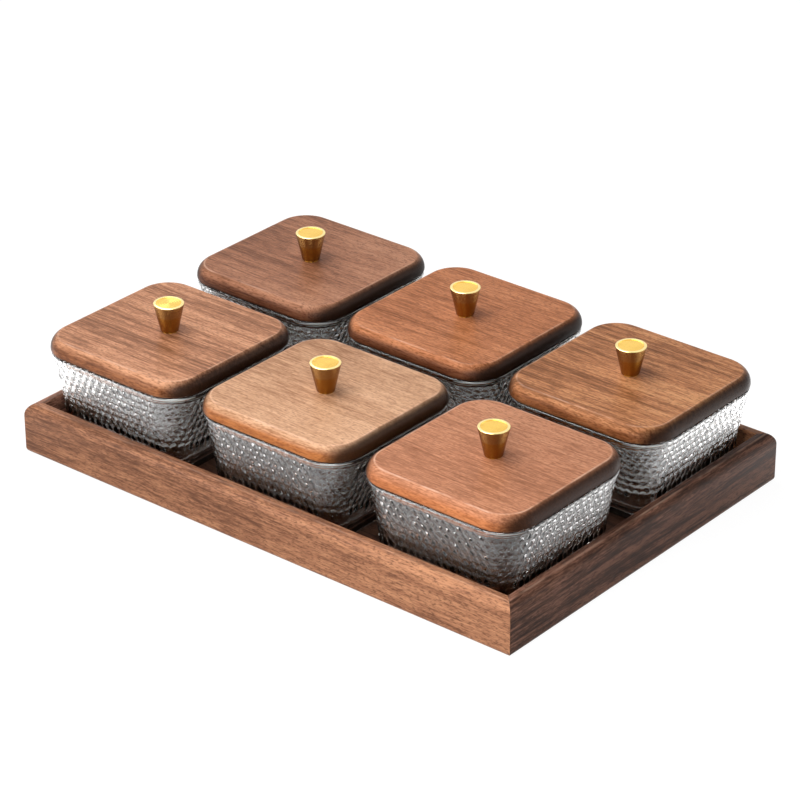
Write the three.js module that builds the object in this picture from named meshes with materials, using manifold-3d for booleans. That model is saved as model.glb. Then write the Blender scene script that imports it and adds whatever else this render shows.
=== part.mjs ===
// Serving set: a walnut tray that holds six square glass bowls, each with a
// wooden lid, a silicone seal and a brass knob. Millimetres, +Z up, the origin
// on the table under the middle of the tray, +X along the tray's long side.

import * as THREE from 'three';
import { mergeVertices } from 'three/addons/utils/BufferGeometryUtils.js';
import Module from 'manifold-3d';

// Clearances
const seatGap = 0.3; // between a piece and the seat it can be lifted from
const glueGap = 0.1; // glue line between fitted wooden pieces
const cutOverrun = 2; // how far a cutting solid runs past what it cuts

// Tray, whose length and width follow from the bowls that it holds
const railHeight = 34.5;
const railThickness = 9.8;
const railTopDrop = 8; // height of the round along the outer top edge
const railCrease = 1; // by which its radius is larger, so that it meets the top in a crease
const railBottomRadius = 3.5;
const railInnerEase = 0.8; // small bevel of the inner top edge
const grooveDepth = 4; // groove in each rail that carries the tray floor
const floorThickness = 5;
const floorLift = 5; // underside of the floor above the table

// Room round the bowls
const bowlGapX = 9; // between neighbours at their widest
const bowlGapY = 15;
const bowlPlayX = 2.5; // between the outer bowls and the rails, at the top of the rails
const bowlPlayY = 4;

// Bowl: a rounded square that widens from foot to waist to mouth
const bowlHeight = 61.5;
const mouthWidth = 121;
const mouthCorner = 26;
const waistWidth = 104;
const waistCorner = 15.5;
const waistHeight = 14.5; // where the heel ends and the straight side begins
const footWidth = 92;
const footCorner = 10;
const footRise = 4.5; // upright band of the foot
const footEdge = 1; // bevel of the foot's lower edge
const glassWall = 3.4;
const glassBase = 7;
const innerHeelRadius = 9; // round between the inside wall and the bottom
const rimBand = 3.2; // height of the thickened band under the mouth
const rimProud = 0.8; // how far that band stands out of the side
const rimEdge = 0.7; // bevel of the mouth's two edges

// Lid
const lidSetback = 0.5; // of the lid's side behind the side of the mouth
const lidCorner = 23.2;
const lidThickness = 9.5;
const lidBottomEase = 1.7;
const lidSideHeight = 0.4; // upright side between the lower ease and the upper round
const lidCrease = 1; // by which the upper round's radius is larger than its height
const plugDepth = 7; // wooden plug under the lid, which drops into the mouth
const plugClearance = 1; // between the plug's lower end and the glass
const plugEase = 0.8;
const sealGrooveTop = 2; // groove's upper wall below the lid's underside
const sealGrooveHeight = 3;
const sealGrooveDepth = 2.4;

// Seal
const sealLipHeight = 1; // thickness of the lip where it leaves the groove

// Knob and its screw
const knobHeight = 19.4;
const knobBaseRadius = 5.8;
const knobTopRadius = 9.75;
const knobBevel = 0.7;
const knobBaseEase = 0.3;
const screwRadius = 2;
const screwClearance = 0.3;
const screwHeadRadius = 3.8;
const screwHeadHeight = 2.4;
const screwHeadDome = 0.8;
const screwSocketRadius = 1.5;
const screwSocketDepth = 1.4;
const screwReach = 9; // length of screw inside the knob
const counterboreRadius = 4.8;
const counterboreDepth = 4;

// Smoothness of the curved surfaces, in steps
const cornerSteps = 5;
const edgeSteps = 4;
const easeSteps = 2;
const knobSteps = 24;
const screwSteps = 12;
const profileSteps = 4;

// The heel between foot and waist, as shares of its overhang and of its height
const heelShares = [[0.45, 0.2], [0.78, 0.5]];

// Heights that several pieces share
const floorTop = floorLift + floorThickness;
const bowlSeat = floorTop + seatGap;
const lidSeat = bowlHeight + seatGap;

const lidWidth = mouthWidth - 2 * lidSetback;
const lidTopDrop = lidThickness - lidBottomEase - lidSideHeight;

// The bowl's outer sections, which also set the bowls' pitch and the size of the tray
const footSection = section(footRise, footWidth / 2, footCorner);
const waistSection = section(waistHeight, waistWidth / 2, waistCorner);
const mouthSection = section(bowlHeight, mouthWidth / 2, mouthCorner);
const shoulderSection = insetBy(mouthSection, rimProud, bowlHeight - rimBand);
const railTopSection = sectionBetween(waistSection, shoulderSection, railHeight - bowlSeat);
const bowlHalf = Math.max(waistSection.half, mouthSection.half);
const lowBowlHalf = Math.max(footSection.half, waistSection.half, railTopSection.half);

const bowlPitchX = 2 * bowlHalf + bowlGapX;
const bowlPitchY = 2 * bowlHalf + bowlGapY;
const trayLength = 2 * (bowlPitchX + lowBowlHalf + bowlPlayX + railThickness);
const trayWidth = bowlPitchY + 2 * (lowBowlHalf + bowlPlayY + railThickness);

// Finishes
const walnut = { color: 0x7a5138, roughness: 0.5, metalness: 0 };
const finishes = {
  tray: new THREE.MeshStandardMaterial(walnut),
  floor: new THREE.MeshStandardMaterial({ ...walnut, color: 0x2a1a13 }),
  glass: new THREE.MeshStandardMaterial({
    color: 0xe6ebea, roughness: 0.05, metalness: 0, transparent: true, opacity: 0.35,
  }),
  brownLid: new THREE.MeshStandardMaterial({ ...walnut, color: 0x8a5638 }),
  goldenLid: new THREE.MeshStandardMaterial({ ...walnut, color: 0xa97648 }),
  reddishLid: new THREE.MeshStandardMaterial({ ...walnut, color: 0x9a5f40 }),
  darkLid: new THREE.MeshStandardMaterial({ ...walnut, color: 0x6a4029 }),
  seal: new THREE.MeshStandardMaterial({ color: 0xd8d8d4, roughness: 0.6, metalness: 0 }),
  brass: new THREE.MeshStandardMaterial({ color: 0xd9a441, roughness: 0.2, metalness: 1 }),
  steel: new THREE.MeshStandardMaterial({ color: 0xb5b6b8, roughness: 0.35, metalness: 1 }),
};

const kernel = await Module();
kernel.setup();

// Booleans

function solidOf(geometry) {
  const bare = geometry.clone();
  bare.deleteAttribute('normal');
  bare.deleteAttribute('uv');
  const merged = mergeVertices(bare);
  return new kernel.Manifold(new kernel.Mesh({
    numProp: 3,
    vertProperties: new Float32Array(merged.attributes.position.array),
    triVerts: new Uint32Array(merged.index.array),
  }));
}

function geometryOf(solid) {
  const { vertProperties, triVerts } = solid.getMesh();
  const geometry = new THREE.BufferGeometry();
  geometry.setAttribute('position', new THREE.BufferAttribute(vertProperties, 3));
  geometry.setIndex(new THREE.BufferAttribute(triVerts, 1));
  geometry.computeVertexNormals();
  return geometry;
}

// Rounded-square lofts

function section(z, half, corner) {
  return { z, half, corner };
}

function insetBy(from, inset, z) {
  return section(z, from.half - inset, from.corner - inset);
}

// A section on the straight line from one section to another, which may run past them
function sectionBetween(lower, upper, z) {
  const share = (z - lower.z) / (upper.z - lower.z);
  return section(
    z,
    THREE.MathUtils.lerp(lower.half, upper.half, share),
    THREE.MathUtils.lerp(lower.corner, upper.corner, share),
  );
}

function outlineOf({ half, corner }) {
  const radius = THREE.MathUtils.clamp(corner, 0, half);
  const centre = half - radius;
  const quarter = Math.PI / 2;
  const points = [];
  for (let turn = 0; turn < 4; turn += 1) {
    const x = turn === 0 || turn === 3 ? centre : -centre;
    const y = turn < 2 ? centre : -centre;
    const arc = new THREE.EllipseCurve(x, y, radius, radius, turn * quarter, (turn + 1) * quarter);
    points.push(...arc.getPoints(cornerSteps));
  }
  return points;
}

// Skins a row of sections that runs up the outside. A ring closes on its first section,
// and any other loft is closed by a flat face over its first and its last section.
function loft(sections, isRing = false) {
  const outlines = sections.map(outlineOf);
  const count = outlines[0].length;
  const positions = sections.flatMap(({ z }, level) => outlines[level].flatMap(({ x, y }) => [x, y, z]));
  const index = [];
  const bands = isRing ? sections.length : sections.length - 1;
  for (let level = 0; level < bands; level += 1) {
    const lower = level * count;
    const upper = ((level + 1) % sections.length) * count;
    for (let i = 0; i < count; i += 1) {
      const next = (i + 1) % count;
      index.push(lower + i, lower + next, upper + next);
      index.push(lower + i, upper + next, upper + i);
    }
  }
  if (!isRing) {
    const last = (sections.length - 1) * count;
    for (const [a, b, c] of THREE.ShapeUtils.triangulateShape(outlines[0], [])) {
      index.push(c, b, a);
    }
    for (const [a, b, c] of THREE.ShapeUtils.triangulateShape(outlines.at(-1), [])) {
      index.push(last + a, last + b, last + c);
    }
  }
  const geometry = new THREE.BufferGeometry();
  geometry.setAttribute('position', new THREE.Float32BufferAttribute(positions, 3));
  geometry.setIndex(index);
  geometry.computeVertexNormals();
  return geometry;
}

// A round that starts upright on a side and meets the top face after the given drop, as
// offsets inwards and down from the unrounded corner. Its radius is larger than the drop
// by the crease, and without a crease it is a full quarter.
function creasedRound(drop, crease, steps) {
  const radius = drop + crease;
  const endAngle = Math.asin(drop / radius);
  return Array.from({ length: steps + 1 }, (_, step) => {
    const angle = (endAngle * step) / steps;
    return { inwards: radius * (1 - Math.cos(angle)), down: drop - radius * Math.sin(angle) };
  });
}

// Revolves a profile of [radius, height] pairs about the Z axis
function revolve(profile, steps) {
  const points = profile.map(([radius, height]) => new THREE.Vector2(radius, height));
  return new THREE.LatheGeometry(points, steps).rotateX(Math.PI / 2);
}

function post(radius, from, to, steps) {
  const height = to - from;
  return new THREE.CylinderGeometry(radius, radius, height, steps)
    .rotateX(Math.PI / 2)
    .translate(0, 0, from + height / 2);
}

// Tray

// Section of a rail: x runs inwards from the outer face and y up from the table
function railProfile() {
  const grooveFloor = railThickness - grooveDepth;
  const profile = new THREE.Shape();
  profile.moveTo(railBottomRadius, 0);
  profile.lineTo(railThickness, 0);
  profile.lineTo(railThickness, floorLift - glueGap);
  profile.lineTo(grooveFloor, floorLift - glueGap);
  profile.lineTo(grooveFloor, floorTop + glueGap);
  profile.lineTo(railThickness, floorTop + glueGap);
  profile.lineTo(railThickness, railHeight - railInnerEase);
  profile.lineTo(railThickness - railInnerEase, railHeight);
  for (const { inwards, down } of creasedRound(railTopDrop, railCrease, edgeSteps).reverse()) {
    profile.lineTo(inwards, railHeight - down);
  }
  profile.absarc(railBottomRadius, railBottomRadius, railBottomRadius, Math.PI, 1.5 * Math.PI, false);
  return profile;
}

// Plan of a rail with its mitred ends, a glue line short of its neighbours
function mitrePlan(length) {
  const outer = length / 2 + cutOverrun - glueGap;
  const inner = length / 2 - railThickness - cutOverrun - glueGap;
  const plan = new THREE.Shape();
  plan.moveTo(-outer, -cutOverrun);
  plan.lineTo(outer, -cutOverrun);
  plan.lineTo(inner, railThickness + cutOverrun);
  plan.lineTo(-inner, railThickness + cutOverrun);
  plan.closePath();
  return plan;
}

// A rail along X, its outer face at y = 0 and its inner face at y = railThickness
function railGeometry(length) {
  const along = new THREE.Matrix4().makeBasis(
    new THREE.Vector3(0, 1, 0),
    new THREE.Vector3(0, 0, 1),
    new THREE.Vector3(1, 0, 0),
  );
  const moulding = new THREE.ExtrudeGeometry(railProfile(), {
    depth: length, bevelEnabled: false, steps: 1, curveSegments: profileSteps,
  }).translate(0, 0, -length / 2).applyMatrix4(along);
  const mitre = new THREE.ExtrudeGeometry(mitrePlan(length), {
    depth: railHeight + 2 * cutOverrun, bevelEnabled: false, steps: 1,
  }).translate(0, 0, -cutOverrun);
  return geometryOf(solidOf(moulding).intersect(solidOf(mitre)));
}

function floorGeometry() {
  const bearing = 2 * (railThickness - grooveDepth + glueGap);
  return new THREE.BoxGeometry(trayLength - bearing, trayWidth - bearing, floorThickness)
    .translate(0, 0, floorLift + floorThickness / 2);
}

function meshOf(name, geometry, finish) {
  const mesh = new THREE.Mesh(geometry, finish);
  mesh.name = name;
  return mesh;
}

function makeTray() {
  const tray = new THREE.Group();
  const sides = [
    { name: 'rail_front', length: trayLength, x: 0, y: -trayWidth / 2, turns: 0 },
    { name: 'rail_right', length: trayWidth, x: trayLength / 2, y: 0, turns: 1 },
    { name: 'rail_back', length: trayLength, x: 0, y: trayWidth / 2, turns: 2 },
    { name: 'rail_left', length: trayWidth, x: -trayLength / 2, y: 0, turns: 3 },
  ];
  for (const { name, length, x, y, turns } of sides) {
    const rail = meshOf(name, railGeometry(length), finishes.tray);
    rail.position.set(x, y, 0);
    rail.rotation.z = (turns * Math.PI) / 2;
    tray.add(rail);
  }
  tray.add(meshOf('tray_floor', floorGeometry(), finishes.floor));
  return tray;
}

// Bowl

// The inside wall at a height above the bowl's foot
function insideWallAt(z) {
  return insetBy(sectionBetween(waistSection, shoulderSection, z), glassWall, z);
}

function heelSections() {
  const overhang = waistSection.half - footSection.half;
  const cornerGrowth = waistSection.corner - footSection.corner;
  const height = waistHeight - footRise;
  return heelShares.map(([outShare, upShare]) => section(
    footRise + height * upShare,
    footSection.half + overhang * outShare,
    footSection.corner + cornerGrowth * outShare,
  ));
}

function bowlGeometry() {
  const innerMouth = insideWallAt(bowlHeight);
  const innerFoot = insideWallAt(glassBase + innerHeelRadius);
  const innerHeel = Array.from({ length: easeSteps + 1 }, (_, step) => {
    const angle = (Math.PI / 2) * ((step + 1) / (easeSteps + 1));
    const inset = innerHeelRadius * (1 - Math.cos(angle));
    return insetBy(innerFoot, inset, glassBase + innerHeelRadius * (1 - Math.sin(angle)));
  });
  return loft([
    insetBy(footSection, footEdge, 0),
    insetBy(footSection, 0, footEdge),
    footSection,
    ...heelSections(),
    waistSection,
    shoulderSection,
    insetBy(mouthSection, 0, bowlHeight - rimBand + rimProud),
    insetBy(mouthSection, 0, bowlHeight - rimEdge),
    insetBy(mouthSection, rimEdge, bowlHeight),
    insetBy(innerMouth, -rimEdge, bowlHeight),
    insideWallAt(bowlHeight - rimEdge),
    innerFoot,
    ...innerHeel,
  ]);
}

// Lid and seal, with z = 0 on the lid's underside, which rests on the bowl's rim

const lidSection = section(0, lidWidth / 2, lidCorner);
const plugSection = insetBy(insideWallAt(lidSeat - plugDepth), plugClearance, -plugDepth);

function lidGeometry() {
  const grooveBottom = sealGrooveTop + sealGrooveHeight;
  const lowerEdge = creasedRound(lidBottomEase, 0, easeSteps).reverse();
  const upperEdge = creasedRound(lidTopDrop, lidCrease, edgeSteps);
  const blank = loft([
    insetBy(plugSection, plugEase, -plugDepth),
    insetBy(plugSection, 0, plugEase - plugDepth),
    insetBy(plugSection, 0, -grooveBottom),
    insetBy(plugSection, sealGrooveDepth, -grooveBottom),
    insetBy(plugSection, sealGrooveDepth, -sealGrooveTop),
    insetBy(plugSection, 0, -sealGrooveTop),
    insetBy(plugSection, 0, 0),
    ...lowerEdge.map(({ inwards, down }) => insetBy(lidSection, inwards, down)),
    ...upperEdge.map(({ inwards, down }) => insetBy(lidSection, inwards, lidThickness - down)),
  ]);
  const counterbore = post(counterboreRadius, -plugDepth - cutOverrun, counterboreDepth - plugDepth, knobSteps);
  const screwHole = post(
    screwRadius + screwClearance, -plugDepth - cutOverrun, lidThickness + cutOverrun, screwSteps,
  );
  return geometryOf(solidOf(blank).subtract(solidOf(counterbore)).subtract(solidOf(screwHole)));
}

function sealGeometry() {
  const grooveMiddle = -sealGrooveTop - sealGrooveHeight / 2;
  const bottom = grooveMiddle - sealGrooveHeight / 2 + seatGap;
  const top = grooveMiddle + sealGrooveHeight / 2 - seatGap;
  const lip = insetBy(insideWallAt(lidSeat + grooveMiddle - sealLipHeight / 2), seatGap, grooveMiddle);
  const grooveFloor = sealGrooveDepth - seatGap;
  return loft([
    insetBy(plugSection, grooveFloor, bottom),
    insetBy(plugSection, 0, bottom),
    insetBy(lip, 0, grooveMiddle - sealLipHeight / 2),
    insetBy(lip, 0, grooveMiddle + sealLipHeight / 2),
    insetBy(plugSection, 0, top),
    insetBy(plugSection, grooveFloor, top),
  ], true);
}

// Knob, with z = 0 on its base

function knobGeometry() {
  const bore = screwRadius + screwClearance;
  const boreDepth = screwReach + screwClearance;
  return revolve([
    [0, boreDepth],
    [bore, boreDepth],
    [bore, 0],
    [knobBaseRadius - knobBaseEase, 0],
    [knobBaseRadius, knobBaseEase],
    [knobTopRadius, knobHeight - knobBevel],
    [knobTopRadius - knobBevel, knobHeight],
    [0, knobHeight],
  ], knobSteps);
}

// Screw, with z = 0 under its head, where it bears on the counterbore

function screwGeometry() {
  const length = plugDepth - counterboreDepth + lidThickness + screwReach;
  return revolve([
    [0, screwSocketDepth - screwHeadHeight],
    [screwSocketRadius, screwSocketDepth - screwHeadHeight],
    [screwSocketRadius, -screwHeadHeight],
    [screwHeadRadius - screwHeadDome, -screwHeadHeight],
    [screwHeadRadius, screwHeadDome - screwHeadHeight],
    [screwHeadRadius, 0],
    [screwRadius, 0],
    [screwRadius, length - screwRadius / 2],
    [screwRadius / 2, length],
    [0, length],
  ], screwSteps);
}

// One place on the tray: the bowl and, as a group of their own, what lifts off with its lid
function makePlace(place, geometries) {
  const group = new THREE.Group();
  group.position.set(place.column * bowlPitchX, place.row * (bowlPitchY / 2), bowlSeat);
  group.add(meshOf(`bowl_${place.name}`, geometries.bowl, finishes.glass));

  const cover = new THREE.Group();
  cover.position.z = lidSeat;
  cover.add(meshOf(`lid_${place.name}`, geometries.lid, place.lidFinish));
  cover.add(meshOf(`seal_${place.name}`, geometries.seal, finishes.seal));
  const knob = meshOf(`knob_${place.name}`, geometries.knob, finishes.brass);
  knob.position.z = lidThickness;
  const screw = meshOf(`screw_${place.name}`, geometries.screw, finishes.steel);
  screw.position.z = counterboreDepth - plugDepth;
  cover.add(knob, screw);

  group.add(cover);
  return group;
}

const places = [
  { name: 'front_left', column: -1, row: -1, lidFinish: finishes.brownLid },
  { name: 'front_middle', column: 0, row: -1, lidFinish: finishes.goldenLid },
  { name: 'front_right', column: 1, row: -1, lidFinish: finishes.reddishLid },
  { name: 'back_left', column: -1, row: 1, lidFinish: finishes.darkLid },
  { name: 'back_middle', column: 0, row: 1, lidFinish: finishes.brownLid },
  { name: 'back_right', column: 1, row: 1, lidFinish: finishes.brownLid },
];

const geometries = {
  bowl: bowlGeometry(),
  lid: lidGeometry(),
  seal: sealGeometry(),
  knob: knobGeometry(),
  screw: screwGeometry(),
};

const servingSet = new THREE.Group();
servingSet.add(makeTray(), ...places.map((place) => makePlace(place, geometries)));

export default servingSet;
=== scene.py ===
"""Looks of a serving set: a walnut tray that holds six lidded bowls of hammered glass.

Metres, +Z up, the origin on the table under the middle of the tray. Each piece stands in the
space of the solid that it replaces, and rides on the body that carries it.
"""

import logging
import math
import random
from dataclasses import dataclass, field
from enum import Enum

import bmesh
import bpy
from bmesh.types import BMEdge, BMesh, BMVert
from bpy.types import Material, Node, NodeOutputs, NodeSocket, NodeTree
from mathutils import Matrix, Vector


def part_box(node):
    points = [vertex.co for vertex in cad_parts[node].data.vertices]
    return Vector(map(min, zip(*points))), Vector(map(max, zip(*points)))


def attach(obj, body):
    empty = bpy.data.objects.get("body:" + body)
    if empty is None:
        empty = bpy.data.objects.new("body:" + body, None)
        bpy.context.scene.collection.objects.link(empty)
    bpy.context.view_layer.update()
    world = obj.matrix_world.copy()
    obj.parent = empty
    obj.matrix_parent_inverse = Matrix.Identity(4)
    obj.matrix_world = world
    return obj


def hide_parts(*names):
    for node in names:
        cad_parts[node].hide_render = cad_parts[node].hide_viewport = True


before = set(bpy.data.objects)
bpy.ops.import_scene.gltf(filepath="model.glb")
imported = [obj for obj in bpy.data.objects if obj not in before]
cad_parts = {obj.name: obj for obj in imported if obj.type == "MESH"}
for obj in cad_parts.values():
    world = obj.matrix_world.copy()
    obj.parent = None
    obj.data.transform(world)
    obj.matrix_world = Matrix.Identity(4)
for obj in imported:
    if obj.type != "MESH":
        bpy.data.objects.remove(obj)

log = logging.getLogger("serving_set")

Colour = tuple[float, float, float]
Point = tuple[float, float, float]
Dimple = tuple[float, float, float]
Bounds = tuple[float, float]

# The point attribute that marks crests for a painted highlight
PAINTED_CREST_HIGHLIGHT = "painted_crest_highlight"
SEAT_GAP = 0.0003
GLUE_GAP = 0.0001
# The strip beside a rounded edge that keeps its shading off the flat face
HOLD = 0.0008
# How far apart outlines are drawn until they are bridged
APART = 0.005
# The corner of a rounded square that stands for a round hole, as a share of its half width
ROUND_SHARE = 0.95
MERGE = 1e-6


# Outlines that the lofted pieces are skinned over


@dataclass(frozen=True)
class Steps:
    """How finely a ring is divided: along a straight side and round a corner."""

    side: int = 1
    corner: int = 12

    @property
    def circle(self) -> int:
        """The number of steps that gives a circle as many points as a rounded square."""
        return 4 * (self.side + self.corner)


@dataclass(frozen=True)
class Section:
    """A rounded square at one height, by half its width and the radius of its corners."""

    z: float
    half: float
    corner: float

    def inset(self, by: float, z: float) -> "Section":
        """The same outline drawn in by a distance, at another height."""
        return Section(z, self.half - by, self.corner - by)

    def towards(self, other: "Section", z: float) -> "Section":
        """Finds the section at a height on the straight line from this one to another.

        Args:
            other: the section that the line leads to.
            z: the height.

        Returns:
            The section.
        """
        share = (z - self.z) / (other.z - self.z)
        half = self.half + (other.half - self.half) * share
        corner = self.corner + (other.corner - self.corner) * share
        return Section(z, half, corner)

    def ring(self, bm: BMesh, steps: Steps) -> list[BMEdge]:
        """Draws the outline as a ring of edges.

        Args:
            bm: the mesh that it is drawn in.
            steps: how finely it is divided.

        Returns:
            The edges of the ring.
        """
        others = set(bm.edges)
        square = bmesh.ops.create_grid(
            bm, x_segments=1, y_segments=1, size=self.half, matrix=raised(self.z)
        )
        corners = soften(bm, square["verts"], self.corner, steps.corner, "VERTICES")
        bmesh.ops.delete(bm, geom=[corners[0].link_faces[0]], context="FACES_ONLY")
        if steps.side > 1:
            straights = sorted(added_to(bm, others), key=BMEdge.calc_length)[-4:]
            bmesh.ops.subdivide_edges(bm, edges=straights, cuts=steps.side - 1)
        return added_to(bm, others)

    def share_round(self, spot: Vector) -> float:
        """Finds how far round the outline a spot lies.

        Args:
            spot: the spot, on the outline.

        Returns:
            Its place, from 0 at the middle of the +X side to 1.
        """
        flat = self.half - self.corner
        quarter = 2 * flat + self.corner * math.pi / 2
        turn = math.atan2(spot.y, spot.x) % math.tau
        number = int(turn // (math.pi / 2))
        local = Matrix.Rotation(-number * math.pi / 2, 2) @ spot.to_2d()
        if local.y <= flat:
            along = local.y
        elif local.x <= flat:
            along = quarter - local.x
        else:
            along = flat + self.corner * math.atan2(local.y - flat, local.x - flat)
        return (number + along / quarter) / 4


@dataclass(frozen=True)
class Circle:
    """A circle at one height, or a polygon by its number of corners and their radius."""

    z: float
    radius: float
    corners: int = 0

    def ring(self, bm: BMesh, steps: Steps) -> list[BMEdge]:
        """Draws the outline as a ring of edges.

        Args:
            bm: the mesh that it is drawn in.
            steps: how finely it is divided.

        Returns:
            The edges of the ring.
        """
        others = set(bm.edges)
        segments = self.corners or steps.circle
        bmesh.ops.create_circle(bm, segments=segments, radius=self.radius, matrix=raised(self.z))
        if self.corners:
            cuts = steps.circle // self.corners - 1
            bmesh.ops.subdivide_edges(bm, edges=added_to(bm, others), cuts=cuts)
        return added_to(bm, others)


Outline = Section | Circle


def raised(z: float) -> Matrix:
    """The shift from the ground up to a height."""
    return Matrix.Translation((0, 0, z))


def added_to(bm: BMesh, others: set[BMEdge]) -> list[BMEdge]:
    """The edges of a mesh that aren't among the others."""
    return [edge for edge in bm.edges if edge not in others]


def verts_in(geom: list) -> list[BMVert]:
    """The vertices among the results of an operator."""
    return [item for item in geom if isinstance(item, BMVert)]


def raise_rings(bm: BMesh, rings: list[list[BMEdge]], by: float) -> None:
    """Raises each ring by a distance more than the last, so that none lie in one plane.

    Args:
        bm: the mesh.
        rings: the edges of each ring.
        by: the distance.
    """
    for number, ring in enumerate(rings):
        points = list({vert for edge in ring for vert in edge.verts})
        bmesh.ops.translate(bm, verts=points, vec=(0, 0, number * by))


def skin(
    bm: BMesh, outlines: list[Outline], steps: Steps, is_ring: bool = False
) -> tuple[list[list[BMEdge]], list[list[BMEdge]]]:
    """Skins a row of outlines, and closes it with a face at each end or into a ring.

    Args:
        bm: the mesh that the skin is made in.
        outlines: the outlines, in order along the surface.
        steps: how finely each outline is divided.
        is_ring: True if the last outline joins the first.

    Returns:
        The edges of each outline, and the edges that cross each band between two outlines.
    """
    rings = [outline.ring(bm, steps) for outline in outlines]
    raise_rings(bm, rings, APART)
    following = rings[1:] + rings[:1] if is_ring else rings[1:]
    bands = [
        bmesh.ops.bridge_loops(bm, edges=ring + after)["edges"]
        for ring, after in zip(rings, following)
    ]
    raise_rings(bm, rings, -APART)
    if not is_ring:
        for ring in (rings[0], rings[-1]):
            bmesh.ops.edgeloop_fill(bm, edges=ring)
    bmesh.ops.recalc_face_normals(bm, faces=bm.faces)
    return rings, bands


def soften(bm: BMesh, geom: list, width: float, steps: int = 3, affect: str = "EDGES") -> list[BMVert]:
    """Rounds off some edges, or the corners of a face, by a width.

    Args:
        bm: the mesh.
        geom: the edges, or the vertices at the corners.
        width: how far each round reaches.
        steps: the number of steps along it.
        affect: EDGES or VERTICES.

    Returns:
        The new points.
    """
    rounded = bmesh.ops.bevel(
        bm, geom=geom, offset=width, offset_type="OFFSET",
        segments=steps, profile=0.5, material=-1, affect=affect,
    )
    return rounded["verts"]


def wooden_mesh() -> BMesh:
    """Starts a mesh whose points can be marked for a painted crest highlight.

    Returns:
        The mesh.
    """
    bm = bmesh.new()
    bm.verts.layers.float.new(PAINTED_CREST_HIGHLIGHT)
    return bm


def mark_painted_crest_highlight(bm: BMesh, verts: list[BMVert]) -> None:
    """Marks points that get a painted highlight: a lighter colour along a crest.

    Args:
        bm: a mesh from wooden_mesh.
        verts: the points.
    """
    layer = bm.verts.layers.float[PAINTED_CREST_HIGHLIGHT]
    for vert in verts:
        vert[layer] = 1.0


def edge_round(drop: float, steps: int, crease: float = 0) -> list[tuple[float, float]]:
    """A round that starts upright on a side and meets the top after a drop.

    Args:
        drop: the round's height.
        steps: the number of steps along it.
        crease: how much larger its radius is, so that it meets the top in a crease.

    Returns:
        Pairs of an offset inwards from the side and an offset down from the top.
    """
    radius = drop + crease
    sweep = math.asin(drop / radius)
    angles = [sweep * step / steps for step in range(steps + 1)]
    return [(radius * (1 - math.cos(angle)), drop - radius * math.sin(angle)) for angle in angles]


# Placing finished pieces


@dataclass(frozen=True)
class Standing:
    """The solid that a piece stands for, its body and the slot of its finish."""

    node: str
    body: str
    slot: str


def centre_of(node: str) -> Vector:
    """The middle of a solid's footprint, at its lowest height."""
    low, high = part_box(node)
    return Vector(((low.x + high.x) / 2, (low.y + high.y) / 2, low.z))


def put(
    bm: BMesh, at: Vector, material: Material, standing: Standing, crease_angle: float = 25
) -> None:
    """Makes a mesh the piece that stands for a solid.

    Args:
        bm: the mesh, which is freed.
        at: where its origin goes.
        material: its finish.
        standing: what it stands for.
        crease_angle: the angle in degrees past which an edge shows as sharp.
    """
    mesh = bpy.data.meshes.new(f"{standing.node}_mesh")
    bm.to_mesh(mesh)
    bm.free()
    mesh.transform(Matrix.Translation(at))
    mesh.shade_smooth()
    mesh.set_sharp_from_angle(angle=math.radians(crease_angle))
    mesh.materials.append(material)
    piece = bpy.data.objects.new(f"{standing.node}_piece", mesh)
    bpy.context.scene.collection.objects.link(piece)
    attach(piece, standing.body)
    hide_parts(standing.node)
    log.info("%s: %d faces, on %s", piece.name, len(mesh.polygons), standing.body)


# Finishes


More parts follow.
